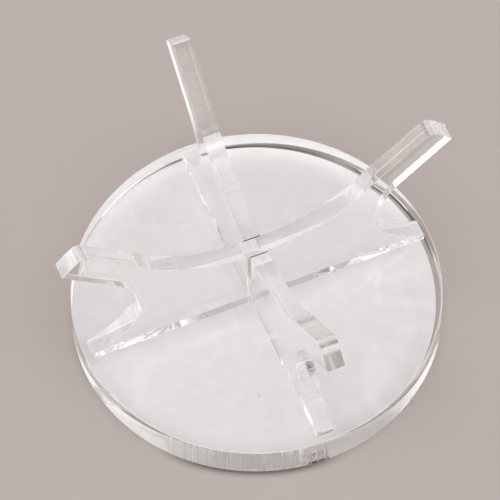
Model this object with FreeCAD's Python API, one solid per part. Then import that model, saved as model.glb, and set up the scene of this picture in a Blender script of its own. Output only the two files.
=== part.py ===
"""Clear acrylic cradle stand: a thick round base with two crossed profile plates cemented on top.

Frame: +Z up, origin on the standing surface under the centre of the stand. One plate lies
along X and the other along Y. All sizes are in millimetres.
"""

import FreeCAD
import Part
import math
import os

Vector = FreeCAD.Vector

# ---- driving dimensions -------------------------------------------------------------------

# Base disc, cut from 10 mm sheet.
DISC_DIAMETER = 100.0
DISC_THICKNESS = 10.0
DISC_EDGE_CHAMFER = 0.4

# Translucent film under the disc, laid on by hand and so a little off centre.
FILM_THICKNESS = 0.5
FILM_MARGIN = 1.2
FILM_OFFSET_X = -0.95
FILM_OFFSET_Y = 0.45

# Cradle plates, cut from 5 mm sheet. Heights are above the plate's own bottom edge.
PLATE_THICKNESS = 5.0
CRADLE_BOTTOM_HEIGHT = 23.4
CRADLE_RADIUS = 46.0
CRADLE_HALF_WIDTH = 30.3
STEP_RISE = 1.1
STEP_RUN = 0.6
HORN_ANGLE = 42.0
HORN_DEPTH = 8.6
HORN_OVERHANG = 5.6
HORN_TIP_ROUND = 2.6
FOOT_INSET = 2.0
FOOT_TIP_HEIGHT = 2.1
FOOT_TIP_ROUND = 1.0
FOOT_TOP_RUN = 1.2
FLANK_LOW_ANGLE = 20.0
FLANK_HIGH_ANGLE = 73.0
THROAT_DEPTH = 14.1
THROAT_RADIUS = 5.0

# Halving joint where the plates cross.
SLOT_CLEARANCE = 0.2
SLOT_END_CLEARANCE = 0.3

# Cement between the plates and the disc, one run under each arm.
CEMENT_THICKNESS = 0.15
CEMENT_SQUEEZE_OUT = 0.2
CEMENT_START = 16.0
CEMENT_END_GAP = 0.4

# ---- values that follow from them ---------------------------------------------------------

DISC_RADIUS = DISC_DIAMETER / 2
DISC_TOP = FILM_THICKNESS + DISC_THICKNESS
FILM_RADIUS = DISC_RADIUS - FILM_MARGIN
PLATE_BOTTOM = DISC_TOP + CEMENT_THICKNESS
FOOT_END = DISC_RADIUS - FOOT_INSET
HORN_REACH = DISC_RADIUS + HORN_OVERHANG
SLOT_WIDTH = PLATE_THICKNESS + 2 * SLOT_CLEARANCE
SLOT_MEETING_HEIGHT = CRADLE_BOTTOM_HEIGHT / 2


def direction(angle):
    """Unit vector in the plate's plane, its angle in degrees above +X."""
    turn = math.radians(angle)
    return Vector(math.cos(turn), 0, math.sin(turn))


def line(start, end):
    return Part.LineSegment(start, end).toShape()


def arc(start, middle, end):
    return Part.Arc(start, middle, end).toShape()


def rounded_corner(corner, heading_in, heading_out, radius):
    """Start, middle and end of the arc that rounds a corner between two unit headings."""
    half_turn = heading_in.getAngle(heading_out) / 2
    setback = radius * math.tan(half_turn)
    start = corner - heading_in * setback
    end = corner + heading_out * setback
    inward = (heading_out - heading_in).normalize()
    middle = corner + inward * (radius / math.cos(half_turn) - radius)
    return start, middle, end


def arc_points(centre, radius, first_angle, last_angle):
    """Start, middle and end of an arc, its angles in degrees above +X."""
    angles = (first_angle, (first_angle + last_angle) / 2, last_angle)
    return [centre + direction(angle) * radius for angle in angles]


def cut_out(foot_corner, lower_corner):
    """The three arcs of the cut-out under a horn, from the horn to the foot.

    The upper arc runs from the horn's underside to the upright tangent at the bottom of the
    cut-out, a tight arc turns the corner there, and the flank's arc falls to the foot.
    """
    throat_x = FOOT_END - THROAT_DEPTH
    foot_top_start = foot_corner - direction(-FLANK_LOW_ANGLE) * FOOT_TOP_RUN
    low_sine = math.sin(math.radians(FLANK_LOW_ANGLE))
    high_sine = math.sin(math.radians(FLANK_HIGH_ANGLE))
    flank_reach = foot_top_start.x - throat_x - THROAT_RADIUS * (1 - high_sine)
    flank_radius = flank_reach / (high_sine - low_sine)
    flank_centre = foot_top_start + direction(90 - FLANK_LOW_ANGLE) * flank_radius
    flank_top = flank_centre + direction(270 - FLANK_HIGH_ANGLE) * flank_radius
    throat_centre = flank_top + direction(90 - FLANK_HIGH_ANGLE) * THROAT_RADIUS

    underside_normal = direction(90 + HORN_ANGLE)
    upper_radius = (
        lower_corner.dot(underside_normal)
        - Vector(throat_x, 0, throat_centre.z).dot(underside_normal)
    ) / (1 + underside_normal.x)
    upper_centre = Vector(throat_x + upper_radius, 0, throat_centre.z)
    return [
        arc_points(upper_centre, upper_radius, 90 + HORN_ANGLE, 180),
        arc_points(throat_centre, THROAT_RADIUS, 180, 270 - FLANK_HIGH_ANGLE),
        arc_points(flank_centre, flank_radius, 270 - FLANK_HIGH_ANGLE, 270 - FLANK_LOW_ANGLE),
    ]


def arm_edges():
    """Edges of one arm, from the end of the cradle arc round the horn and down to the foot."""
    cradle_end = Vector(CRADLE_HALF_WIDTH, 0, cradle_height(CRADLE_HALF_WIDTH))
    step_top = cradle_end + Vector(STEP_RUN, 0, STEP_RISE)
    along_horn = direction(HORN_ANGLE)
    end_face = direction(HORN_ANGLE - 90)
    foot_top = direction(-FLANK_LOW_ANGLE)
    down = direction(-90)

    top_corner_x = HORN_REACH - HORN_DEPTH * end_face.x
    top_length = (top_corner_x - step_top.x) / along_horn.x
    top_corner = step_top + along_horn * top_length
    lower_corner = top_corner + end_face * HORN_DEPTH
    tip_arc = rounded_corner(top_corner, along_horn, end_face, HORN_TIP_ROUND)

    foot_corner = Vector(FOOT_END, 0, FOOT_TIP_HEIGHT)
    foot_arc = rounded_corner(foot_corner, foot_top, down, FOOT_TIP_ROUND)
    foot_bottom = Vector(FOOT_END, 0, 0)
    upper_arc, throat_arc, flank_arc = cut_out(foot_corner, lower_corner)

    return [
        line(cradle_end, step_top),
        line(step_top, tip_arc[0]),
        arc(*tip_arc),
        line(tip_arc[2], lower_corner),
        line(lower_corner, upper_arc[0]),
        arc(*upper_arc),
        arc(*throat_arc),
        arc(*flank_arc),
        line(flank_arc[2], foot_arc[0]),
        arc(*foot_arc),
        line(foot_arc[2], foot_bottom),
    ]


def cradle_height(x):
    """Height of the cradle arc at a distance from the centre."""
    return CRADLE_BOTTOM_HEIGHT + CRADLE_RADIUS - math.sqrt(CRADLE_RADIUS**2 - x**2)


def plate_blank():
    """The full profile plate along X before its slot is cut, standing at height 0."""
    right_arm = arm_edges()
    mirror_plane_normal = Vector(1, 0, 0)
    left_arm = [edge.mirror(Vector(0, 0, 0), mirror_plane_normal) for edge in right_arm]
    cradle_end_height = cradle_height(CRADLE_HALF_WIDTH)
    cradle = arc(
        Vector(-CRADLE_HALF_WIDTH, 0, cradle_end_height),
        Vector(0, 0, CRADLE_BOTTOM_HEIGHT),
        Vector(CRADLE_HALF_WIDTH, 0, cradle_end_height),
    )
    bottom = line(Vector(FOOT_END, 0, 0), Vector(-FOOT_END, 0, 0))
    loop = Part.__sortEdges__(right_arm + left_arm + [cradle, bottom])
    face = Part.Face(Part.Wire(loop))
    face.translate(Vector(0, -PLATE_THICKNESS / 2, 0))
    return face.extrude(Vector(0, PLATE_THICKNESS, 0))


def slot_cutter(low, high):
    """Block that cuts the halving slot between two heights."""
    block = Part.makeBox(SLOT_WIDTH, 2 * PLATE_THICKNESS, high - low)
    block.translate(Vector(-SLOT_WIDTH / 2, -PLATE_THICKNESS, low))
    return block


def plate_slotted_below():
    """Plate along X. Its slot opens downwards, so its cradle edge runs unbroken."""
    below = -PLATE_THICKNESS
    slot = slot_cutter(below, SLOT_MEETING_HEIGHT + SLOT_END_CLEARANCE / 2)
    plate = plate_blank().cut(slot)
    plate.translate(Vector(0, 0, PLATE_BOTTOM))
    return plate


def plate_slotted_above():
    """Plate along Y. Its slot opens upwards and takes the other plate."""
    above = CRADLE_BOTTOM_HEIGHT + PLATE_THICKNESS
    slot = slot_cutter(SLOT_MEETING_HEIGHT - SLOT_END_CLEARANCE / 2, above)
    plate = plate_blank().cut(slot)
    plate.rotate(Vector(0, 0, 0), Vector(0, 0, 1), 90)
    plate.translate(Vector(0, 0, PLATE_BOTTOM))
    return plate


def base_disc():
    disc = Part.makeCylinder(DISC_RADIUS, DISC_THICKNESS, Vector(0, 0, FILM_THICKNESS))
    rims = [edge for edge in disc.Edges if edge.isClosed()]
    return disc.makeChamfer(DISC_EDGE_CHAMFER, rims)


def underside_film():
    centre = Vector(FILM_OFFSET_X, FILM_OFFSET_Y, 0)
    return Part.makeCylinder(FILM_RADIUS, FILM_THICKNESS, centre)


def cement_run(turn):
    """Cement under one arm: a thin layer that squeezes out a little on both sides."""
    length = FOOT_END - CEMENT_END_GAP - CEMENT_START
    width = PLATE_THICKNESS + 2 * CEMENT_SQUEEZE_OUT
    run = Part.makeBox(length, width, CEMENT_THICKNESS)
    run.translate(Vector(CEMENT_START, -width / 2, DISC_TOP))
    upright = [edge for edge in run.Edges if edge.tangentAt(edge.FirstParameter).z ** 2 > 0.5]
    run = run.makeFillet(width / 3, upright)
    run.rotate(Vector(0, 0, 0), Vector(0, 0, 1), turn)
    return run


def main():
    parts = {
        "base_disc": base_disc(),
        "underside_film": underside_film(),
        "cradle_plate_slotted_below": plate_slotted_below(),
        "cradle_plate_slotted_above": plate_slotted_above(),
        "cement_right": cement_run(0),
        "cement_back": cement_run(90),
        "cement_left": cement_run(180),
        "cement_front": cement_run(270),
    }
    os.makedirs("parts", exist_ok=True)
    for name, shape in parts.items():
        shape.exportStep("parts/" + name + ".step")
        box = shape.BoundBox
        print(name, shape.isValid(), len(shape.Solids), round(shape.Volume, 1), box)


main()
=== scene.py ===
"""Clear acrylic cradle stand: a round base, two crossed cradle plates, their cement and a film.

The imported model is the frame: every piece takes its place from it, and rides on its body.
Lengths are in metres, +Z is up, and the origin is on the standing surface.
"""

import math
import random

import bmesh
import bpy
from bpy.props import FloatProperty, FloatVectorProperty, IntProperty, PointerProperty
from bpy.types import Operator, Panel, PropertyGroup
from mathutils import Euler, Matrix, Vector


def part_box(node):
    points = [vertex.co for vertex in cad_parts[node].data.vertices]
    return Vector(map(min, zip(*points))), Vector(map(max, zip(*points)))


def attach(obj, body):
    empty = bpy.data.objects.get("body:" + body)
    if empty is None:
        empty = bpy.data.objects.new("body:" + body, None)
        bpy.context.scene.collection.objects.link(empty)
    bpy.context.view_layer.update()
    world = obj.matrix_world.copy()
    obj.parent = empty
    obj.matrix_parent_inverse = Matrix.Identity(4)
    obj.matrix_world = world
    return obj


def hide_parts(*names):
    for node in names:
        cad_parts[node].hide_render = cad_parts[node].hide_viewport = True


bl_info = {
    "name": "Clear cradle stand",
    "version": (1, 0, 0),
    "blender": (4, 5, 0),
    "location": "View3D > Sidebar > Stand",
    "description": "Builds a clear acrylic cradle stand around its packed frame",
    "category": "Object",
}

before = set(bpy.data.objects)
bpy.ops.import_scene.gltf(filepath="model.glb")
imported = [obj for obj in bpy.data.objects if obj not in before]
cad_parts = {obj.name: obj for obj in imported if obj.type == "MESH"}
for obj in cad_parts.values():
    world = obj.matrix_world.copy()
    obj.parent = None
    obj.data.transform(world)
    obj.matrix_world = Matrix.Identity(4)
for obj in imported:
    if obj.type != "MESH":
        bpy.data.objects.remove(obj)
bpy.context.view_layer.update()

MM = 0.001
BODY = "root"
DISC_LOW, DISC_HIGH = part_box("base_disc")
FILM_LOW, FILM_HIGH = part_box("underside_film")
PLATE_LOW, PLATE_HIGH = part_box("cradle_plate_slotted_below")
CEMENT_LOW, CEMENT_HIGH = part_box("cement_right")
PLATE_THICKNESS = PLATE_HIGH.y - PLATE_LOW.y
RIM = DISC_HIGH.x
# How far each arm is turned from the right one, in degrees.
ARM_TURNS = {"right": 0, "back": 90, "left": 180, "front": 270}


# ---- sizes and colours -----------------------------------------------------------------


def length(name, description, default):
    """A length that the user can change, in metres."""
    return FloatProperty(
        name=name,
        description=description,
        default=default,
        unit="LENGTH",
        precision=5,
    )


def angle(name, description, degrees):
    """An angle that the user can change, its default given in degrees."""
    return FloatProperty(
        name=name,
        description=description,
        default=math.radians(degrees),
        unit="ROTATION",
        subtype="ANGLE",
    )


def colour(name, description, default):
    """A colour that the user can change, with its alpha."""
    return FloatVectorProperty(
        name=name,
        description=description,
        default=default,
        subtype="COLOR",
        size=4,
        min=0.0,
        max=1.0,
    )


def share(name, description, default):
    """A share from 0 to 1 that the user can change."""
    return FloatProperty(
        name=name,
        description=description,
        default=default,
        subtype="FACTOR",
        min=0.0,
        max=1.0,
    )


class StandSizes(PropertyGroup):
    """Sizes of the stand's pieces."""

    rim_chamfer: length("Rim chamfer", "Polished chamfer on both rims of the base", 0.25 * MM)
    film_gap: length("Film gap", "Air between the base and the film under it", 0.05 * MM)
    film_stretch: length("Film stretch", "Growth of the film's radius as it was laid", 0.3 * MM)
    cradle_bottom: length("Cradle bottom", "Its lowest point over the plate's foot", 23.4 * MM)
    cradle_radius: length("Cradle radius", "Radius of the cradle's edge", 46 * MM)
    cradle_half: length("Cradle half width", "From the middle to where the horn begins", 30.3 * MM)
    step_run: length("Step run", "Width of the small step at the cradle's end", 0.6 * MM)
    step_rise: length("Step rise", "Height of the small step at the cradle's end", 1.1 * MM)
    horn_angle: angle("Horn angle", "Slope of the horn", 42)
    horn_depth: length("Horn depth", "From the horn's top to its underside", 8.6 * MM)
    horn_tip_round: length("Horn tip round", "Radius at the top of the horn's tip", 2.6 * MM)
    foot_inset: length("Foot inset", "From the base's rim to the plate's foot", 2.0 * MM)
    foot_tip_height: length("Foot tip height", "Height of the foot's upright end", 2.1 * MM)
    foot_tip_round: length("Foot tip round", "Radius over the foot's upright end", 1.0 * MM)
    foot_top_run: length("Foot top run", "Straight stretch on top of the foot's end", 1.2 * MM)
    flank_low: angle("Flank low angle", "Slope of the foot's flank at its end", 20)
    flank_high: angle("Flank high angle", "Slope of the foot's flank at the cut-out", 73)
    throat_depth: length("Throat depth", "From the foot's end to the cut-out's bottom", 14.1 * MM)
    throat_radius: length("Throat radius", "Radius of the cut-out's tightest turn", 5.0 * MM)
    slot_clearance: length("Slot clearance", "Gap on each side in the halving joint", 0.2 * MM)
    slot_end_gap: length("Slot end gap", "Gap over the end of the halving joint", 0.3 * MM)
    bubble_count: IntProperty(
        name="Bubble count", description="Bubbles in the left cement run", default=9, min=0
    )
    bubble_seed: IntProperty(
        name="Bubble seed", description="Changes the bubbles' sizes and places", default=4
    )
    bubble_start: length("Bubble start", "Where the row of bubbles begins", -29.7 * MM)
    bubble_pitch: length("Bubble pitch", "Spacing of the bubbles", 1.9 * MM)
    bubble_width: length("Bubble width", "Width of the widest bubble", 0.9 * MM)
    bubble_inset: length("Bubble inset", "From the plate's face to the row of bubbles", 2.6 * MM)
    # Painted shade: the slot's sides over this stretch are painted nearly opaque dark.
    shaded_mouth_depth: length("Mouth depth", "Scorched stretch at the mouth of the upper slot", 0.85 * MM)
    arris: length("Arris", "Width of the bevel along the cut edges of the plates", 0.12 * MM)


class StandFinish(PropertyGroup):
    """Colours and surface of the stand's pieces."""

    acrylic: colour("Acrylic", "Tint of the clear acrylic", (0.998, 0.998, 0.997, 1))
    # Painted shade: the joint's tint is darkened to stand for the shade in the gap between the
    # plates.
    joint: colour("Joint", "Tint inside the halving joint", (0.62, 0.58, 0.57, 1))
    # Painted shade: the mouth of the upper slot is painted near-black for the shade in the gap.
    mouth: colour("Mouth", "Scorched tint at the mouth of the upper slot", (0.05, 0.045, 0.045, 1))
    film: colour("Film", "Colour of the film under the base", (0.79, 0.766, 0.768, 1))
    floor: colour("Floor", "Colour of the floor", (0.485, 0.429, 0.402, 1))
    shade_width: length("Shade width", "Reach of the shade on the floor beside the base", 2.5 * MM)
    shade_depth: share("Shade depth", "Strength of the shade right beside the base", 0.1)
    front_shade_depth: share("Front shade depth", "Added strength in front and behind", 0.55)
    hidden_shade: share("Hidden shade", "Added strength of the shade under the rim's back", 0.5)
    gathered_light: share("Gathered light", "Added light on the floor right behind the base", 0.8)
    # Painted shadow: a dark line painted on the floor under the rim at the back right.
    rim_shadow_line: share("Rim line", "Strength of the dark line under the rim at the back right", 0.8)
    rim_shadow_line_width: length("Rim line width", "From the rim to where that line ends", 0.7 * MM)
    rim_ridge_depth: length("Rim ridge depth", "Height of the saw's ridges on the rim", 0.22 * MM)
    rim_ridge_pitch: length("Rim ridge pitch", "Spacing of the ridges on the rim", 0.8 * MM)
    rim_patch_size: length("Rim patch size", "Length of its smooth and ridged stretches", 4.0 * MM)
    rim_dullness: share("Rim dullness", "Roughness of the rim where the ridges are deepest", 0.55)
    cut_ridge_depth: length("Cut ridge depth", "Height of the ridges on the plates", 0.01 * MM)
    cut_ridge_pitch: length("Cut ridge pitch", "Spacing of the ridges on the plates", 0.5 * MM)
    throat_ridges: FloatProperty(
        name="Throat ridges",
        description="How much stronger the ridges are round the cut-outs, where the cutter slowed",
        default=12.0,
        min=1.0,
    )
    cut_roughness: share("Cut roughness", "Dullness of the plates' cut edges", 0.06)
    # Painted shade: the streaks darken the acrylic's tint between the ridges.
    rim_streak_shade: share("Rim streaks", "How dark the streaks between the rim's ridges are", 0.5)
    cut_streak_shade: share("Cut streaks", "How dark the streaks between the plates' ridges are", 0.14)


# ---- small helpers ---------------------------------------------------------------------


def sizes():
    """The sizes as the user has them now."""
    return bpy.context.scene.stand_sizes


def finishes():
    """The colours and surfaces as the user has them now."""
    return bpy.context.scene.stand_finish


def new_object(name, mesh, materials):
    """Turns a bmesh into an object with these materials, and frees it."""
    data = bpy.data.meshes.new(name)
    mesh.to_mesh(data)
    mesh.free()
    piece = bpy.data.objects.new(name, data)
    for material in materials:
        data.materials.append(material)
    bpy.context.scene.collection.objects.link(piece)
    return piece


def stand_piece(name, mesh, materials, node):
    """A piece of the stand that takes the place of a CAD node."""
    piece = new_object(name, mesh, materials)
    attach(piece, BODY)
    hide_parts(node)


def heading(turn):
    """Unit vector in the XZ plane, its angle above +X."""
    return Vector((math.cos(turn), 0, math.sin(turn)))


def turned_about_z(degrees):
    """The matrix of a turn about the vertical axis."""
    return Matrix.Rotation(math.radians(degrees), 3, "Z")


# ---- meshes ----------------------------------------------------------------------------


ARC_STEP = 0.3 * MM
FEWEST_ARC_STEPS = 3
SHARP_ANGLE = math.radians(20)
MERGE_DISTANCE = 0.003 * MM
TOLERANCE = 0.001 * MM

# A face looks along an axis where that part of its normal is over ALONG, and stands square to the
# axis where it is under ACROSS. A slot's arris looks aside by more than ASIDE.
ALONG = 0.99
ACROSS = 0.01
ASIDE = 0.3


class Outline:
    """One half of a plate's outline in the XZ plane, drawn from point to point."""

    def __init__(self, start):
        self.mesh = bmesh.new()
        self.pen = self.mesh.verts.new(start)

    def line(self, end):
        """A straight line from the pen to a point."""
        grown = bmesh.ops.extrude_vert_indiv(self.mesh, verts=[self.pen])
        self.pen = grown["verts"][0]
        self.pen.co = end

    def arc(self, centre, turn):
        """An arc round a centre, turning left where the angle is positive."""
        radius = (self.pen.co - centre).length
        steps = max(FEWEST_ARC_STEPS, math.ceil(abs(turn) * radius / ARC_STEP))
        swept = bmesh.ops.spin(
            self.mesh,
            geom=[self.pen],
            cent=centre,
            axis=(0, -1, 0),
            angle=turn,
            steps=steps,
        )
        self.pen = next(part for part in swept["geom_last"] if isinstance(part, bmesh.types.BMVert))

    def corner(self, corner, after, radius):
        """A line to a corner that an arc rounds, ready to go on towards the next point."""
        arriving = (corner - self.pen.co).normalized()
        leaving = (after - corner).normalized()
        left = Vector((-arriving.z, 0, arriving.x))
        turn = math.copysign(arriving.angle(leaving), left.dot(leaving))
        start = corner - arriving * radius * math.tan(abs(turn) / 2)
        self.line(start)
        self.arc(start + left * math.copysign(radius, turn), turn)


def draw_arm(outline):
    """The plate's edge from the cradle, round the horn and the cut-out, to the foot's end."""
    size = sizes()
    bottom = PLATE_LOW.z
    foot_end = RIM - size.foot_inset
    along_horn = heading(size.horn_angle)
    end_face = heading(size.horn_angle - math.pi / 2)
    down = Vector((0, 0, -1))

    step_top = outline.pen.co + Vector((size.step_run, 0, size.step_rise))
    reach = PLATE_HIGH.x - size.horn_depth * end_face.x
    tip_top = step_top + along_horn * ((reach - step_top.x) / along_horn.x)
    tip_low = tip_top + end_face * size.horn_depth
    foot_tip = Vector((foot_end, 0, bottom + size.foot_tip_height))

    throat_x = foot_end - size.throat_depth
    foot_top_start = foot_tip - heading(-size.flank_low) * size.foot_top_run
    flank_reach = foot_top_start.x - throat_x - size.throat_radius * (1 - math.sin(size.flank_high))
    flank_radius = flank_reach / (math.sin(size.flank_high) - math.sin(size.flank_low))
    flank_centre = foot_top_start + heading(math.pi / 2 - size.flank_low) * flank_radius
    turned = heading(math.pi / 2 - size.flank_high)
    throat_centre = flank_centre - turned * (flank_radius - size.throat_radius)
    under_normal = heading(size.horn_angle + math.pi / 2)
    throat_side = Vector((throat_x, 0, throat_centre.z))
    upper_radius = (tip_low - throat_side).dot(under_normal) / (1 + under_normal.x)
    upper_centre = throat_side + Vector((upper_radius, 0, 0))

    outline.line(step_top)
    outline.corner(tip_top, tip_low, size.horn_tip_round)
    outline.line(tip_low)
    outline.line(upper_centre + under_normal * upper_radius)
    outline.arc(upper_centre, math.pi / 2 - size.horn_angle)
    outline.arc(throat_centre, math.pi / 2 - size.flank_high)
    outline.arc(flank_centre, size.flank_high - size.flank_low)
    outline.corner(foot_tip, foot_tip + down, size.foot_tip_round)
    outline.line(Vector((foot_end, 0, bottom)))


def half_slot():
    """Half the width of the slots in the halving joint."""
    return PLATE_THICKNESS / 2 + sizes().slot_clearance


def half_cradle_turn():
    """The angle of half the cradle's arc."""
    return math.asin(sizes().cradle_half / sizes().cradle_radius)


def outline_slotted_below():
    """Half outline of the plate whose slot opens downwards."""
    size = sizes()
    low_point = PLATE_LOW.z + size.cradle_bottom
    slot_top = PLATE_LOW.z + size.cradle_bottom / 2 + size.slot_end_gap / 2
    outline = Outline(Vector((0, 0, low_point)))
    outline.arc(Vector((0, 0, low_point + size.cradle_radius)), half_cradle_turn())
    draw_arm(outline)
    outline.line(Vector((half_slot(), 0, PLATE_LOW.z)))
    outline.line(Vector((half_slot(), 0, slot_top)))
    outline.line(Vector((0, 0, slot_top)))
    return outline.mesh


def outline_slotted_above():
    """Half outline of the plate whose slot opens upwards."""
    size = sizes()
    slot_bottom = PLATE_LOW.z + size.cradle_bottom / 2 - size.slot_end_gap / 2
    centre = Vector((0, 0, PLATE_LOW.z + size.cradle_bottom + size.cradle_radius))
    slot_turn = math.asin(half_slot() / size.cradle_radius)
    mouth = centre + heading(slot_turn - math.pi / 2) * size.cradle_radius
    outline = Outline(Vector((0, 0, slot_bottom)))
    outline.line(Vector((half_slot(), 0, slot_bottom)))
    outline.line(mouth - Vector((0, 0, size.shaded_mouth_depth)))
    outline.line(mouth)
    outline.arc(centre, half_cradle_turn() - slot_turn)
    draw_arm(outline)
    outline.line(Vector((0, 0, PLATE_LOW.z)))
    return outline.mesh


def thicken(mesh, along):
    """Extrudes every face along a vector and turns the shell's normals outwards."""
    grown = bmesh.ops.extrude_face_region(mesh, geom=mesh.faces[:], use_keep_orig=True)
    moved = [part for part in grown["geom"] if isinstance(part, bmesh.types.BMVert)]
    bmesh.ops.translate(mesh, verts=moved, vec=along)
    bmesh.ops.recalc_face_normals(mesh, faces=mesh.faces[:])
    mesh.normal_update()


def bevel(mesh, edges, offset, segments):
    """Bevels these edges. The new faces keep their neighbours' material."""
    bmesh.ops.bevel(
        mesh,
        geom=edges,
        offset=offset,
        segments=segments,
        profile=0.5,
        affect="EDGES",
        material=-1,
    )
    mesh.normal_update()


def plate_mesh(mesh):
    """Mirrors and fills a half outline, gives it the sheet's thickness and bevels its arrises."""
    bmesh.ops.mirror(
        mesh,
        geom=mesh.verts[:] + mesh.edges[:],
        matrix=Matrix.Identity(4),
        merge_dist=MERGE_DISTANCE,
        axis="X",
    )
    bmesh.ops.contextual_create(mesh, geom=mesh.edges[:])
    bmesh.ops.translate(mesh, verts=mesh.verts[:], vec=(0, -PLATE_THICKNESS / 2, 0))
    thicken(mesh, (0, PLATE_THICKNESS, 0))
    rims = [edge for edge in mesh.edges if edge.verts[0].co.y == edge.verts[1].co.y]
    bevel(mesh, rims, sizes().arris, segments=2)
    for face in mesh.faces:
        face.smooth = abs(face.normal.y) < ACROSS
        face.material_index = plate_slot(face)
    soften_cut_edges(mesh)
    return mesh


# The materials of the plates, in the order of their slots. The base has the first three.
FACE_SLOT, CUT_SLOT, BOND_SLOT, JOINT_SLOT, MOUTH_SLOT = range(5)


def plate_slot(face):
    """The slot of the material that a plate's face has."""
    height = face.calc_center_median().z
    if in_joint(face):
        mouth_low = PLATE_LOW.z + sizes().cradle_bottom - sizes().shaded_mouth_depth
        return MOUTH_SLOT if height > mouth_low else JOINT_SLOT
    if face.normal.z < -ALONG and height < PLATE_LOW.z + TOLERANCE:
        return BOND_SLOT
    return CUT_SLOT if abs(face.normal.y) < ACROSS else FACE_SLOT


def in_joint(face):
    """True for the slot's two sides in the halving joint, with their arrises."""
    side = abs(face.calc_center_median().x)
    return abs(side - half_slot()) < sizes().arris and abs(face.normal.x) > ASIDE


def soften_cut_edges(mesh):
    """Leaves an edge soft only inside a cut face that curves gently."""
    for edge in mesh.edges:
        soft = len(edge.link_faces) == 2 and all(face.smooth for face in edge.link_faces)
        edge.smooth = soft and edge.calc_face_angle(0) < SHARP_ANGLE


DISC_SEGMENTS = 720


def disc_mesh():
    """The base: a circle raised to the sheet's thickness, with both rims chamfered."""
    mesh = bmesh.new()
    bmesh.ops.create_circle(mesh, cap_ends=True, radius=RIM, segments=DISC_SEGMENTS)
    bmesh.ops.translate(mesh, verts=mesh.verts[:], vec=(0, 0, DISC_LOW.z))
    thicken(mesh, (0, 0, DISC_HIGH.z - DISC_LOW.z))
    rims = [edge for edge in mesh.edges if edge.verts[0].co.z == edge.verts[1].co.z]
    bevel(mesh, rims, sizes().rim_chamfer, segments=1)
    for face in mesh.faces:
        face.smooth = abs(face.normal.z) < ALONG
        face.material_index = FACE_SLOT
        if abs(face.normal.z) < ACROSS:
            face.material_index = CUT_SLOT
        if face.normal.z > ALONG:
            face.material_index = BOND_SLOT
    soften_cut_edges(mesh)
    return mesh


FILM_SEGMENTS = 360
# How far the film's middle moved to the right and the back, in parts of its stretch.
FILM_DRIFT = Vector((0.8, 0.25, 0))


def film_mesh():
    """The film: a thin round sheet that was stretched a little when it was laid."""
    low, high = FILM_LOW, FILM_HIGH
    radius = (high.x - low.x) / 2 + sizes().film_stretch
    mesh = bmesh.new()
    bmesh.ops.create_circle(mesh, cap_ends=True, radius=radius, segments=FILM_SEGMENTS)
    middle = (low + high) / 2 + sizes().film_stretch * FILM_DRIFT
    bmesh.ops.translate(mesh, verts=mesh.verts[:], vec=(middle.x, middle.y, low.z))
    thicken(mesh, (0, 0, high.z - low.z - sizes().film_gap))
    for face in mesh.faces:
        face.smooth = abs(face.normal.z) < ALONG
    for edge in mesh.edges:
        edge.smooth = edge.calc_face_angle(0) < SHARP_ANGLE
    return mesh


# A cement run's rounded corners, and the order of the slots of its materials.
CEMENT_CORNER = (CEMENT_HIGH.y - CEMENT_LOW.y) / 3
CEMENT_CORNER_SEGMENTS = 10
RUN_SLOT, WETTED_SLOT, BUBBLE_SLOT = range(3)


def cement_mesh(turn):
    """One run of cement: rounded at its ends, and narrowing upwards to the plate's width."""
    low, high = CEMENT_LOW, CEMENT_HIGH
    mesh = bmesh.new()
    bmesh.ops.create_cube(mesh, size=1)
    bmesh.ops.scale(mesh, verts=mesh.verts[:], vec=high - low)
    bmesh.ops.translate(mesh, verts=mesh.verts[:], vec=(low + high) / 2)
    upright = [edge for edge in mesh.edges if edge.verts[0].co.z != edge.verts[1].co.z]
    bevel(mesh, upright, CEMENT_CORNER, CEMENT_CORNER_SEGMENTS)
    flat_width = PLATE_THICKNESS - 2 * sizes().arris
    top = [vert for vert in mesh.verts if vert.co.z > (low.z + high.z) / 2]
    bmesh.ops.scale(mesh, verts=top, vec=(1, flat_width / (high.y - low.y), 1))
    bmesh.ops.rotate(mesh, verts=mesh.verts[:], matrix=turned_about_z(turn))
    mesh.normal_update()
    for face in mesh.faces:
        face.material_index = WETTED_SLOT if abs(face.normal.z) > ALONG else RUN_SLOT
    return mesh


# How small the smallest bubble is beside the widest, how unevenly they are spaced in parts of
# their pitch, how far they stray from the row in parts of their width, and their height in parts
# of the cement's.
SMALLEST_BUBBLE = 0.5
UNEVEN_PITCH = 0.05
STRAY = 0.3
BUBBLE_HEIGHT = 0.8


def add_bubbles(mesh):
    """A row of flattened bubbles along the front side of the left cement run."""
    size = sizes()
    draw = random.Random(size.bubble_seed)
    height = BUBBLE_HEIGHT * (CEMENT_HIGH.z - CEMENT_LOW.z)
    for number in range(size.bubble_count):
        width = size.bubble_width * draw.uniform(SMALLEST_BUBBLE, 1.0)
        pitch = size.bubble_pitch * draw.uniform(1 - UNEVEN_PITCH, 1 + UNEVEN_PITCH)
        inset = size.bubble_inset + width * draw.uniform(-STRAY, STRAY)
        middle = (
            size.bubble_start - number * pitch,
            PLATE_LOW.y + inset,
            (CEMENT_LOW.z + CEMENT_HIGH.z) / 2,
        )
        ball = bmesh.ops.create_icosphere(mesh, subdivisions=2, radius=0.5)["verts"]
        bmesh.ops.scale(mesh, verts=ball, vec=(width, width, height))
        bmesh.ops.translate(mesh, verts=ball, vec=middle)
        for face in {face for vert in ball for face in vert.link_faces}:
            face.material_index = BUBBLE_SLOT
            face.smooth = True


# ---- materials -------------------------------------------------------------------------


NUMBERED = "in_"


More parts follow.
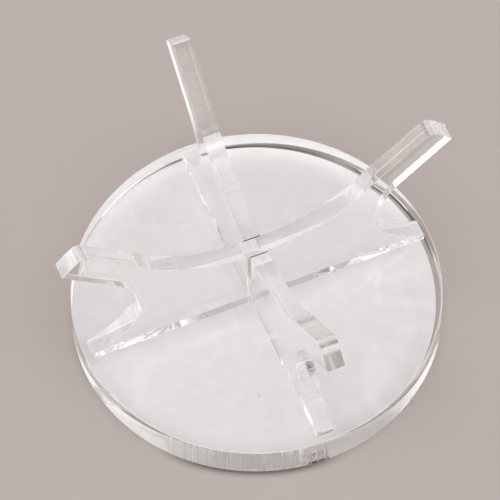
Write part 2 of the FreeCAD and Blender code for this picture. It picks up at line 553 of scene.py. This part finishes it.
class NodeTree:
    """A material's or a group's nodes, added one by one and linked by name."""

    def __init__(self, tree):
        self.tree = tree

    def add(self, kind, settings=None, **inputs):
        """A node with these settings, and each input set to a value or linked to a socket."""
        node = self.tree.nodes.new(kind)
        for name, value in (settings or {}).items():
            setattr(node, name, value)
        for name, value in inputs.items():
            self.feed(node, name, value)
        return node

    def feed(self, node, name, value):
        """Sets an input, or links it where the value is another node's socket."""
        socket = self.socket(node.inputs, name)
        if isinstance(value, bpy.types.NodeSocket):
            self.tree.links.new(value, socket)
        else:
            socket.default_value = value

    @staticmethod
    def socket(sockets, name):
        """A socket by its number, as in_0, or by its name with _ for each space."""
        if name.startswith(NUMBERED):
            return sockets[int(name.removeprefix(NUMBERED))]
        return sockets[name.replace("_", " ")]

    def math(self, operation, first, second=0.0):
        """The value that an operation gives for two numbers."""
        node = self.add("ShaderNodeMath", {"operation": operation}, in_0=first, in_1=second)
        return node.outputs["Value"]

    def vector_math(self, operation, output, first, **inputs):
        """A vector operation's Value or Vector."""
        node = self.add("ShaderNodeVectorMath", {"operation": operation}, in_0=first, **inputs)
        return node.outputs[output]

    def ramp(self, value, band, low=0.0, high=1.0, shape="SMOOTHSTEP"):
        """low where a value is at the band's start or under it, and high from its end on."""
        start, end = band
        node = self.add(
            "ShaderNodeMapRange",
            {"interpolation_type": shape},
            Value=value,
            From_Min=start,
            From_Max=end,
            To_Min=low,
            To_Max=high,
        )
        return node.outputs["Result"]

    def place(self):
        """Where each point lies in its piece."""
        return self.add("ShaderNodeTexCoord").outputs["Object"]

    def group(self, name, **inputs):
        """An instance of one of the shared node groups."""
        shared = {"node_tree": bpy.data.node_groups[name]}
        return self.add("ShaderNodeGroup", shared, **inputs)


def new_material(name):
    """A material with an empty Principled shader, and the tree to build on."""
    material = bpy.data.materials.new(name)
    material.use_nodes = True
    shader = material.node_tree.nodes["Principled BSDF"]
    return material, NodeTree(material.node_tree), shader


def new_group(name, inputs, outputs):
    """The tree of a new node group with these sockets, and its input and output nodes."""
    tree = bpy.data.node_groups.new(name, "ShaderNodeTree")
    for socket, kind, default in inputs:
        made = tree.interface.new_socket(socket, in_out="INPUT", socket_type=kind)
        if default is not None:
            made.default_value = default
    for socket, kind in outputs:
        tree.interface.new_socket(socket, in_out="OUTPUT", socket_type=kind)
    nodes = NodeTree(tree)
    return nodes, nodes.add("NodeGroupInput"), nodes.add("NodeGroupOutput")


# Where the noise passes from calm to ridged stretches, how strong the ridges are in the calm ones,
# and where it passes from clear to streaks of painted shade.
PATCH_BAND = (0.35, 0.58)
CALM_STRENGTH = 0.3
STREAK_BAND = (0.48, 0.62)


def cut_ridges_group():
    """Fine ridges across the sheet's thickness, stronger in some stretches, with painted shade as
    dark streaks.
    """
    nodes, given, result = new_group(
        "cut_ridges",
        [
            ("Vector", "NodeSocketVector", None),
            ("Pitch", "NodeSocketFloat", 0.8 * MM),
            ("Patch size", "NodeSocketFloat", 11.0 * MM),
            ("Strength", "NodeSocketFloat", 1.0),
            ("Darkness", "NodeSocketFloat", 0.3),
        ],
        [
            ("Height", "NodeSocketFloat"),
            ("Tone", "NodeSocketFloat"),
            ("Mask", "NodeSocketFloat"),
        ],
    )
    vector = given.outputs["Vector"]
    fineness = nodes.math("DIVIDE", 1.0, given.outputs["Pitch"])
    fine = nodes.add(
        "ShaderNodeTexNoise", Vector=vector, Scale=fineness, Detail=2.0, Roughness=0.6
    )
    patchiness = nodes.math("DIVIDE", 1.0, given.outputs["Patch size"])
    patches = nodes.add("ShaderNodeTexNoise", Vector=vector, Scale=patchiness, Detail=1.0)
    patchy = nodes.ramp(patches.outputs["Fac"], PATCH_BAND, low=CALM_STRENGTH)
    strength = nodes.math("MULTIPLY", patchy, given.outputs["Strength"])
    nodes.feed(result, "Height", nodes.math("MULTIPLY", fine.outputs["Fac"], strength))
    # Painted shade: the streaks darken the tint between the ridges, standing in for the dark lines
    # that the ridges refract.
    streak = nodes.ramp(fine.outputs["Fac"], STREAK_BAND)
    mask = nodes.math("MULTIPLY", streak, nodes.math("MINIMUM", strength, 1.0))
    dark = nodes.math("MULTIPLY", mask, given.outputs["Darkness"])
    nodes.feed(result, "Tone", nodes.math("SUBTRACT", 1.0, dark))
    nodes.feed(result, "Mask", mask)


# The sum of noise and wetness over which the cement wets a place.
WETTED_OVER = 0.75


def bonded_area_group():
    """1 where cement joins a plate to the base, under each of the four arms, and 0 elsewhere.

    The cement crept inwards unevenly, so the area breaks up into spots at its inner end.
    """
    nodes, given, result = new_group(
        "bonded_area",
        [
            ("Vector", "NodeSocketVector", None),
            ("Creep", "NodeSocketFloat", 6.0 * MM),
            ("Spot size", "NodeSocketFloat", 1.2 * MM),
        ],
        [("Mask", "NodeSocketFloat")],
    )
    flat = nodes.add("ShaderNodeSeparateXYZ", Vector=given.outputs["Vector"])
    x = nodes.math("ABSOLUTE", flat.outputs["X"])
    y = nodes.math("ABSOLUTE", flat.outputs["Y"])
    out = nodes.math("MAXIMUM", x, y)
    across = nodes.math("MINIMUM", x, y)
    middle = (CEMENT_LOW.x + CEMENT_HIGH.x) / 2
    straight_length = (CEMENT_HIGH.x - CEMENT_LOW.x) / 2 - CEMENT_CORNER
    straight_width = CEMENT_HIGH.y - CEMENT_CORNER
    past_middle = nodes.math("ABSOLUTE", nodes.math("SUBTRACT", out, middle))
    past_end = nodes.math("MAXIMUM", nodes.math("SUBTRACT", past_middle, straight_length))
    past_side = nodes.math("MAXIMUM", nodes.math("SUBTRACT", across, straight_width))
    beyond = nodes.add("ShaderNodeCombineXYZ", X=past_end, Y=past_side)
    distance = nodes.vector_math("LENGTH", "Value", beyond.outputs["Vector"])
    inside = nodes.math("LESS_THAN", distance, CEMENT_CORNER)
    spots = nodes.add(
        "ShaderNodeTexNoise",
        Vector=given.outputs["Vector"],
        Scale=nodes.math("DIVIDE", 1.0, given.outputs["Spot size"]),
        Detail=2.0,
    )
    crept = nodes.math("SUBTRACT", out, CEMENT_LOW.x)
    wetness = nodes.math("DIVIDE", crept, given.outputs["Creep"])
    reached = nodes.math("ADD", spots.outputs["Fac"], wetness)
    wetted = nodes.math("GREATER_THAN", reached, WETTED_OVER)
    nodes.feed(result, "Mask", nodes.math("MULTIPLY", inside, wetted))


ACRYLIC_IOR = 1.505
CEMENT_ROUGHNESS = 0.05


def make_clear(shader, tint, roughness):
    """Sets a Principled shader to clear acrylic."""
    shader.inputs["Base Color"].default_value = tint
    shader.inputs["Roughness"].default_value = roughness
    shader.inputs["IOR"].default_value = ACRYLIC_IOR
    shader.inputs["Transmission Weight"].default_value = 1.0


def polished_acrylic():
    """The sheet's own faces."""
    material, _, shader = new_material("polished_acrylic")
    make_clear(shader, finishes().acrylic, 0.0)
    return material


def scaled_colour(nodes, colour, tone):
    """A plain colour times a tone that changes over the surface."""
    return nodes.vector_math("SCALE", "Vector", colour[:3], Scale=tone)


def cut_acrylic(name, across, pitch, depth, streak_shade_depth, roughness):
    """A cut face, its ridges running straight along the axis that across leaves out."""
    material, nodes, shader = new_material(name)
    tint = finishes().acrylic
    make_clear(shader, tint, roughness)
    flattened = nodes.add("ShaderNodeMapping", Vector=nodes.place(), Scale=across)
    ridges = nodes.group(
        "cut_ridges", Vector=flattened.outputs["Vector"], Pitch=pitch, Darkness=streak_shade_depth
    )
    # The tint is darkened by the painted streak shade between the ridges.
    nodes.feed(shader, "Base_Color", scaled_colour(nodes, tint, ridges.outputs["Tone"]))
    add_bump(nodes, shader, ridges, depth)
    return material, nodes, ridges, shader


def add_bump(nodes, shader, ridges, depth):
    """Bends a shader's normal by the height of ridges."""
    bump = nodes.add("ShaderNodeBump", Height=ridges.outputs["Height"], Distance=depth)
    nodes.feed(shader, "Normal", bump.outputs["Normal"])


# The height of the bottoms of the cut-outs, and how far round each of them the cutter slowed:
# fully so up to the band's start.
THROAT_HEIGHT = 31 * MM
THROAT_BAND = (7.2 * MM, 12 * MM)


def cut_edge(name, across):
    """A plate's cut edge, more ridged round the cut-outs under the horns than elsewhere."""
    look = finishes()
    material, nodes, ridges, _ = cut_acrylic(
        name,
        across,
        look.cut_ridge_pitch,
        look.cut_ridge_depth,
        look.cut_streak_shade,
        look.cut_roughness,
    )
    throat_out = RIM - sizes().foot_inset - sizes().throat_depth
    mirrored = nodes.vector_math("ABSOLUTE", "Vector", nodes.place())
    right = nodes.vector_math("DISTANCE", "Value", mirrored, in_1=(throat_out, 0, THROAT_HEIGHT))
    back = nodes.vector_math("DISTANCE", "Value", mirrored, in_1=(0, throat_out, THROAT_HEIGHT))
    nearest = nodes.math("MINIMUM", right, back)
    nodes.feed(ridges, "Strength", nodes.ramp(nearest, THROAT_BAND, low=look.throat_ridges))
    return material


# Each side of the base is the azimuth of its middle. Its band is how far towards that azimuth a
# place lies, in parts of the base's radius, where what the side shows begins and where it is full.
RIDGED_SIDE = math.radians(246)
RIDGED_BAND = (0.885, 0.93)
RIM_CALM_STRENGTH = 0.02


def on_side(nodes, azimuth, band, low=0.0, high=1.0, both_ways=False):
    """low off one side of the base and high on it. Both ways takes in the opposite side too."""
    side = (math.cos(azimuth) / RIM, math.sin(azimuth) / RIM, 0)
    far = nodes.vector_math("DOT_PRODUCT", "Value", nodes.place(), in_1=side)
    if both_ways:
        far = nodes.math("ABSOLUTE", far)
    return nodes.ramp(far, band, low, high)


def cut_rim():
    """The base's rim, polished all round but for the ridged stretch on one side, where the painted
    streak shade is strongest.
    """
    look = finishes()
    material, nodes, ridges, shader = cut_acrylic(
        "cut_rim", (1, 1, 0), look.rim_ridge_pitch, look.rim_ridge_depth, look.rim_streak_shade, 0.0
    )
    strength = on_side(nodes, RIDGED_SIDE, RIDGED_BAND, low=RIM_CALM_STRENGTH)
    nodes.feed(ridges, "Strength", strength)
    nodes.feed(ridges, "Patch_size", look.rim_patch_size)
    dullness = nodes.math("MULTIPLY", ridges.outputs["Mask"], look.rim_dullness)
    nodes.feed(shader, "Roughness", dullness)
    return material


# The joint's ridges run upright, drawn out in height, and are deeper than on the other edges.
JOINT_ROUGHNESS = 0.1
JOINT_RIDGE_SCALE = (1, 1, 0.3)
JOINT_RIDGE_DEPTH = 3
MOUTH_SHADE_ROUGHNESS = 0.6


def shaded_joint_acrylic():
    """The cut faces inside the halving joint, dull from the cutter, their tint darkened as painted
    shade between the plates.
    """
    look = finishes()
    material, nodes, shader = new_material("joint_sides_shaded")
    make_clear(shader, look.joint, JOINT_ROUGHNESS)
    upright = nodes.add("ShaderNodeMapping", Vector=nodes.place(), Scale=JOINT_RIDGE_SCALE)
    ridges = nodes.group(
        "cut_ridges", Vector=upright.outputs["Vector"], Pitch=look.cut_ridge_pitch
    )
    add_bump(nodes, shader, ridges, look.cut_ridge_depth * JOINT_RIDGE_DEPTH)
    return material


def shaded_mouth_acrylic():
    """The mouth of the upper slot, painted nearly opaque dark as shade in the gap between the
    plates.
    """
    material, _, shader = new_material("joint_mouth_shaded")
    shader.inputs["Base Color"].default_value = finishes().mouth
    shader.inputs["Roughness"].default_value = MOUTH_SHADE_ROUGHNESS
    shader.inputs["Specular IOR Level"].default_value = 0.0
    return material


def bonded_acrylic():
    """A face that the cement wets, with no visible surface where it is bonded."""
    material, nodes, shader = new_material("bonded_acrylic")
    make_clear(shader, finishes().acrylic, 0.0)
    bonded = nodes.group("bonded_area", Vector=nodes.place())
    nodes.feed(shader, "Alpha", nodes.math("SUBTRACT", 1.0, bonded.outputs["Mask"]))
    return material


def cement_material():
    """The cement's own sides, beside the plates."""
    material, _, shader = new_material("cement")
    make_clear(shader, finishes().acrylic, CEMENT_ROUGHNESS)
    return material


def wetted_material():
    """The faces where cement meets acrylic: there is nothing to see between them."""
    material, _, shader = new_material("wetted_cement")
    shader.inputs["Alpha"].default_value = 0.0
    return material


def bubble_material():
    """Air inside the cement: a surface seen from the acrylic's side."""
    material, nodes, shader = new_material("trapped_air")
    nodes.tree.nodes.remove(shader)
    glass = nodes.add("ShaderNodeBsdfGlass", Roughness=0.0, IOR=1 / ACRYLIC_IOR)
    nodes.feed(nodes.tree.nodes["Material Output"], "Surface", glass.outputs["BSDF"])
    return material


# The film's noises: how fine each is, in features to the metre, the band of the noise that shows,
# and the tones that it gives.
MOTTLE_FINENESS = 260.0
MOTTLE_TONES = (0.89, 1.08)
SMEAR_FINENESS = 70.0
SMEAR_TURN = math.radians(25)
SMEAR_SCALE = (1, 0.3, 1)
SMEAR_BAND = (0.55, 0.75)
SMEAR_TONE = 1.05
SPECK_FINENESS = 90.0
SPECK_BAND = (0.02, 0.05)
SPECK_TONE = 0.75
FILM_ROUGHNESS = 0.6
FILM_SPECULAR = 0.3


def film_material():
    """Thin translucent film, faintly mottled and smeared, with a few small specks."""
    material, nodes, shader = new_material("white_film")
    where = nodes.place()
    mottle = nodes.add(
        "ShaderNodeTexNoise", Vector=where, Scale=MOTTLE_FINENESS, Detail=5.0, Roughness=0.7
    )
    mottled = nodes.ramp(mottle.outputs["Fac"], (0.0, 1.0), *MOTTLE_TONES, shape="LINEAR")
    drawn_out = nodes.add(
        "ShaderNodeMapping", Vector=where, Rotation=(0, 0, SMEAR_TURN), Scale=SMEAR_SCALE
    )
    smear = nodes.add(
        "ShaderNodeTexNoise",
        Vector=drawn_out.outputs["Vector"],
        Scale=SMEAR_FINENESS,
        Detail=3.0,
        Distortion=1.0,
    )
    smeared = nodes.ramp(smear.outputs["Fac"], SMEAR_BAND, 1.0, SMEAR_TONE)
    specks = nodes.add("ShaderNodeTexVoronoi", Vector=where, Scale=SPECK_FINENESS)
    specked = nodes.ramp(specks.outputs["Distance"], SPECK_BAND, SPECK_TONE, 1.0)
    tone = nodes.math("MULTIPLY", nodes.math("MULTIPLY", mottled, smeared), specked)
    nodes.feed(shader, "Base_Color", scaled_colour(nodes, finishes().film, tone))
    shader.inputs["Roughness"].default_value = FILM_ROUGHNESS
    shader.inputs["Specular IOR Level"].default_value = FILM_SPECULAR
    return material


# Painted shade and painted light on the floor close to the base. The sides and their bands are as
# on the rim. The painted shade in front and behind lies on the line through the ridged side.
FRONT_SHADE_BAND = (0.85, 0.98)
SHADE_FALLOFF = 2.0
LIT_SIDE = math.radians(85)
LIT_BAND = (0.95, 1.0)
LIT_START = (0.5 * MM, 0.7 * MM)
LIT_END = (2.0 * MM, 4.0 * MM)
SHADOW_LINE_SIDE = math.radians(16)
SHADOW_LINE_BAND = (0.9, 0.97)
FLOOR_ROUGHNESS = 0.9
FLOOR_SPECULAR = 0.1


def contact_shade(nodes, beyond):
    """How strongly the base shades the floor beside it, most in front and behind."""
    look = finishes()
    near = nodes.ramp(beyond, (0.0, look.shade_width), 1.0, 0.0, shape="LINEAR")
    deepest = look.shade_depth + look.front_shade_depth
    depth = on_side(
        nodes, RIDGED_SIDE, FRONT_SHADE_BAND, look.shade_depth, deepest, both_ways=True
    )
    return nodes.math("MULTIPLY", nodes.math("POWER", near, SHADE_FALLOFF), depth)


def gathered_light(nodes, beyond):
    """The light that the base gathers behind it, over a narrow shade at its rim."""
    look = finishes()
    start = nodes.ramp(beyond, LIT_START, -look.hidden_shade, look.gathered_light)
    end = nodes.ramp(beyond, LIT_END, 1.0, 0.0)
    behind = on_side(nodes, LIT_SIDE, LIT_BAND)
    return nodes.math("MULTIPLY", nodes.math("MULTIPLY", start, end), behind)


def rim_shadow_line(nodes, beyond):
    """A painted shadow: the dark line on the floor under the rim at the back right."""
    look = finishes()
    band = (look.rim_shadow_line_width / 2, look.rim_shadow_line_width)
    near = nodes.ramp(nodes.math("ABSOLUTE", beyond), band, look.rim_shadow_line, 0.0)
    return nodes.math("MULTIPLY", near, on_side(nodes, SHADOW_LINE_SIDE, SHADOW_LINE_BAND))


def floor_material():
    """Plain floor, with painted shade and painted light only close beside the base."""
    material, nodes, shader = new_material("floor")
    out = nodes.vector_math("LENGTH", "Value", nodes.place())
    beyond = nodes.math("SUBTRACT", out, RIM)
    unshaded = nodes.math("SUBTRACT", 1.0, contact_shade(nodes, beyond))
    lit = nodes.math("ADD", 1.0, gathered_light(nodes, beyond))
    line_unshadowed = nodes.math("SUBTRACT", 1.0, rim_shadow_line(nodes, beyond))
    tone = nodes.math("MULTIPLY", nodes.math("MULTIPLY", unshaded, lit), line_unshadowed)
    nodes.feed(shader, "Base_Color", scaled_colour(nodes, finishes().floor, tone))
    shader.inputs["Roughness"].default_value = FLOOR_ROUGHNESS
    shader.inputs["Specular IOR Level"].default_value = FLOOR_SPECULAR
    return material


# ---- operators -------------------------------------------------------------------------


class STAND_OT_base_disc(Operator):
    """Builds the round base of clear acrylic, and the node groups that the cut faces share"""

    bl_idname = "stand.base_disc"
    bl_label = "Base disc"

    def execute(self, context):
        cut_ridges_group()
        bonded_area_group()
        stand_piece(
            "round_base",
            disc_mesh(),
            [polished_acrylic(), cut_rim(), bonded_acrylic()],
            "base_disc",
        )
        return {"FINISHED"}


class STAND_OT_underside_film(Operator):
    """Builds the thin film under the base"""

    bl_idname = "stand.underside_film"
    bl_label = "Underside film"

    def execute(self, context):
        stand_piece("base_film", film_mesh(), [film_material()], "underside_film")
        return {"FINISHED"}


class STAND_OT_cradle_plates(Operator):
    """Builds the two crossed plates that cradle the model"""

    bl_idname = "stand.cradle_plates"
    bl_label = "Cradle plates"

    def execute(self, context):
        face = bpy.data.materials["polished_acrylic"]
        bonded = bpy.data.materials["bonded_acrylic"]
        # The joint's material carries painted shade, and the mouth's a near-black painted shade, in
        # the gap between the plates.
        joint = shaded_joint_acrylic()
        mouth = shaded_mouth_acrylic()
        stand_piece(
            "lengthwise_plate",
            plate_mesh(outline_slotted_below()),
            [face, cut_edge("cut_lengthwise", (1, 0, 1)), bonded, joint, mouth],
            "cradle_plate_slotted_below",
        )
        crosswise = plate_mesh(outline_slotted_above())
        bmesh.ops.rotate(crosswise, verts=crosswise.verts[:], matrix=turned_about_z(90))
        stand_piece(
            "crosswise_plate",
            crosswise,
            [face, cut_edge("cut_crosswise", (0, 1, 1)), bonded, joint, mouth],
            "cradle_plate_slotted_above",
        )
        return {"FINISHED"}


class STAND_OT_cement(Operator):
    """Builds the run of cement under each arm"""

    bl_idname = "stand.cement"
    bl_label = "Cement runs"

    def execute(self, context):
        materials = [cement_material(), wetted_material(), bubble_material()]
        for arm, turn in ARM_TURNS.items():
            mesh = cement_mesh(turn)
            if arm == "left":
                add_bubbles(mesh)
            stand_piece("cement_run_" + arm, mesh, materials, "cement_" + arm)
        return {"FINISHED"}


# Where the camera stands and looks. Its azimuth is turned from the stand's front.
CAMERA_AZIMUTH = math.radians(-21.46)
CAMERA_ELEVATION = math.radians(59.38)
CAMERA_ROLL = math.radians(-1.35)
CAMERA_DISTANCE = 2.0712
CAMERA_AIM = Vector((5.59 * MM, 18.28 * MM, 0.5 * MM))
# In millimetres, as Blender takes them.
CAMERA_LENS = 552.7
SENSOR_WIDTH = 36.0


def add_camera():
    """The camera at the photograph's angle, turned a little about its own axis."""
    outward = Vector(
        (
            math.sin(CAMERA_AZIMUTH) * math.cos(CAMERA_ELEVATION),
            -math.cos(CAMERA_AZIMUTH) * math.cos(CAMERA_ELEVATION),
            math.sin(CAMERA_ELEVATION),
        )
    )
    place = outward * CAMERA_DISTANCE + Vector((0, 0, DISC_LOW.z))
    facing = (CAMERA_AIM - place).to_track_quat("-Z", "Y").to_matrix()
    rolled = facing @ Matrix.Rotation(CAMERA_ROLL, 3, "Z")
    camera = bpy.data.objects.new("camera", bpy.data.cameras.new("camera"))
    camera.data.lens = CAMERA_LENS
    camera.data.sensor_width = SENSOR_WIDTH
    camera.matrix_world = Matrix.Translation(place) @ rolled.to_4x4()
    bpy.context.scene.collection.objects.link(camera)
    bpy.context.scene.camera = camera


FLOOR_HALF_WIDTH = 4.0
FLOOR_DROP = 0.02 * MM


def add_floor():
    """A wide floor, a hair under the film so that the two don't share a plane."""
    mesh = bmesh.new()
    bmesh.ops.create_grid(mesh, x_segments=1, y_segments=1, size=FLOOR_HALF_WIDTH)
    bmesh.ops.translate(mesh, verts=mesh.verts[:], vec=(0, 0, -FLOOR_DROP))
    floor = new_object("floor", mesh, [floor_material()])


ROOM_COLOUR = (1.08, 1.08, 1.08)
# Each soft region of the room: its name, the azimuth and elevation of its middle, how far from
# there it is full and where it ends, all in degrees, and its colour.
SOFT_REGIONS = (
    ("dim_wall", 95, 15, 52, 85, (0.52, 0.485, 0.475)),
    ("dark_doorway", 69, 59, 5, 12, (0.44, 0.415, 0.41)),
    ("left_window", 180, 45, 12, 38, (1.65, 1.65, 1.65)),
    ("front_lamp", 305, 36, 10, 30, (1.65, 1.65, 1.65)),
    ("back_window", 149, 19, 7, 14, (2.3, 2.3, 2.3)),
)


def add_world():
    """A bright room with a dim wall and a darker patch behind the stand, and three soft lights."""
    world = bpy.data.worlds.new("studio")
    world.use_nodes = True
    bpy.context.scene.world = world
    nodes = NodeTree(world.node_tree)
    outlook = nodes.add("ShaderNodeTexCoord").outputs["Generated"]
    colour = (*ROOM_COLOUR, 1)
    for name, azimuth, elevation, full, end, tone in SOFT_REGIONS:
        middle = Vector((1, 0, 0))
        middle.rotate(Euler((0, -math.radians(elevation), math.radians(azimuth))))
        facing = nodes.vector_math("DOT_PRODUCT", "Value", outlook, in_1=middle)
        band = (math.cos(math.radians(end)), math.cos(math.radians(full)))
        blend = nodes.add(
            "ShaderNodeMixRGB",
            {"label": name},
            Fac=nodes.ramp(facing, band),
            Color1=colour,
            Color2=(*tone, 1),
        )
        colour = blend.outputs["Color"]
    nodes.feed(world.node_tree.nodes["Background"], "Color", colour)


# How often light may bend or bounce in the acrylic, and how many unseen faces it may pass.
LIGHT_BOUNCES = 96
UNSEEN_FACES = 48


class STAND_OT_stage(Operator):
    """Sets out the floor, the soft light and the camera"""

    bl_idname = "stand.stage"
    bl_label = "Stage"

    def execute(self, context):
        add_floor()
        add_world()
        add_camera()
        context.scene.view_settings.view_transform = "Standard"
        cycles = context.scene.cycles
        cycles.max_bounces = LIGHT_BOUNCES
        cycles.glossy_bounces = LIGHT_BOUNCES
        cycles.transmission_bounces = LIGHT_BOUNCES
        cycles.transparent_max_bounces = UNSEEN_FACES
        cycles.blur_glossy = 0.0
        return {"FINISHED"}


class STAND_PT_panel(Panel):
    """Lists the steps that build the stand"""

    bl_label = "Cradle stand"
    bl_idname = "STAND_PT_panel"
    bl_space_type = "VIEW_3D"
    bl_region_type = "UI"
    bl_category = "Stand"

    def draw(self, context):
        for operator in OPERATORS:
            self.layout.operator(operator.bl_idname)
        for group in (context.scene.stand_sizes, context.scene.stand_finish):
            for name in group.__annotations__:
                self.layout.prop(group, name)


OPERATORS = (
    STAND_OT_base_disc,
    STAND_OT_underside_film,
    STAND_OT_cradle_plates,
    STAND_OT_cement,
    STAND_OT_stage,
)
CLASSES = (StandSizes, StandFinish, *OPERATORS, STAND_PT_panel)


def register():
    for one in CLASSES:
        bpy.utils.register_class(one)
    bpy.types.Scene.stand_sizes = PointerProperty(type=StandSizes)
    bpy.types.Scene.stand_finish = PointerProperty(type=StandFinish)


def unregister():
    del bpy.types.Scene.stand_finish
    del bpy.types.Scene.stand_sizes
    for one in reversed(CLASSES):
        bpy.utils.unregister_class(one)


def main():
    register()
    bpy.ops.stand.base_disc()
    bpy.ops.stand.underside_film()
    bpy.ops.stand.cradle_plates()
    bpy.ops.stand.cement()
    bpy.ops.stand.stage()


if __name__ == "__main__":
    main()
